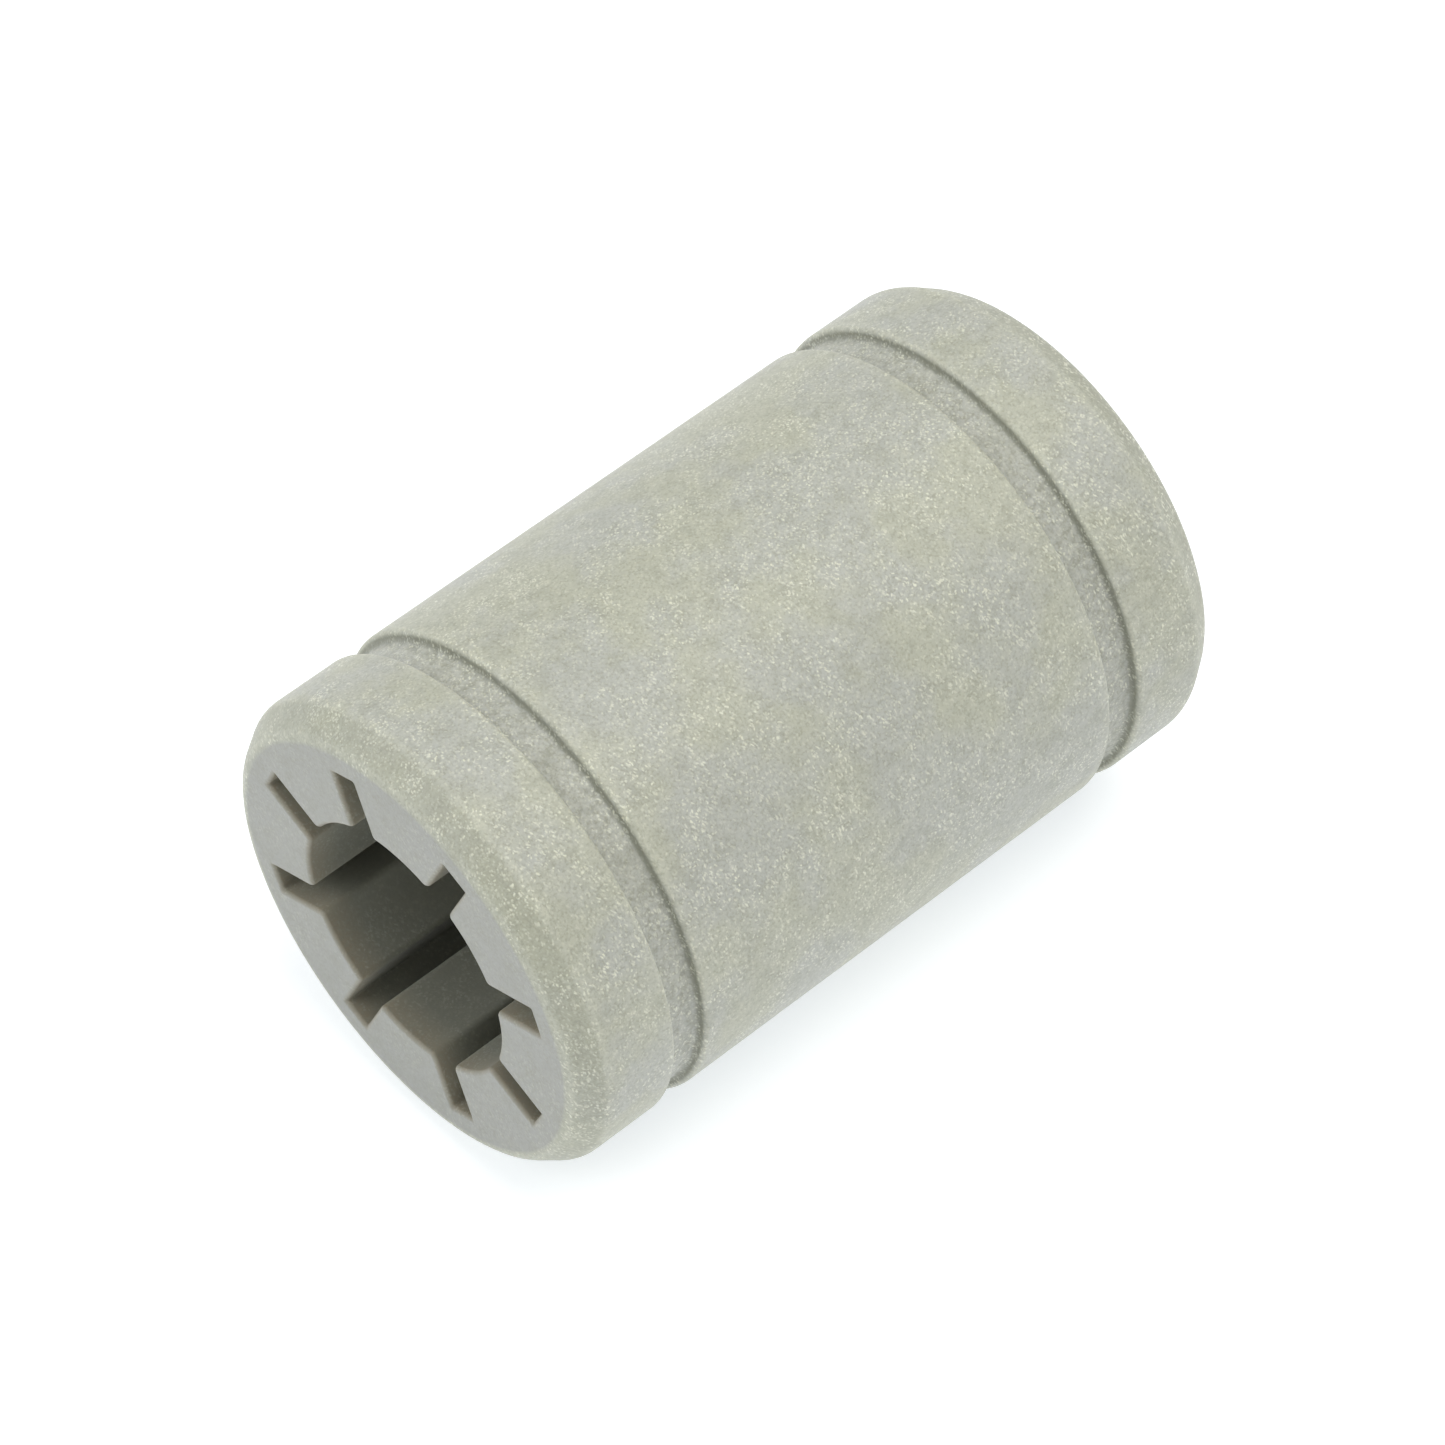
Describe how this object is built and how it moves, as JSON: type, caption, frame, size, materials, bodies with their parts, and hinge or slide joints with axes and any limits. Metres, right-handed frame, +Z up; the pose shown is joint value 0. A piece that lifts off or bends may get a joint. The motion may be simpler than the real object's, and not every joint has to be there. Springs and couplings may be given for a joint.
{
  "type": "linear plain bushing",
  "caption": "Round polymer sleeve that slides on a straight shaft, with slots round its bore and retaining ring grooves round the outside.",
  "frame": {"origin": "centre of the bore at mid-length", "axes": "+X along the bore, +Z up with the bushing lying on its side"},
  "size_m": [0.024, 0.015, 0.015],
  "materials": {
    "bearing_polymer": "matt grey-green polymer with fine pale fibre flecks"
  },
  "bodies": {
    "root": {"bushing_body": "bearing_polymer"}
  },
  "joints": []
}
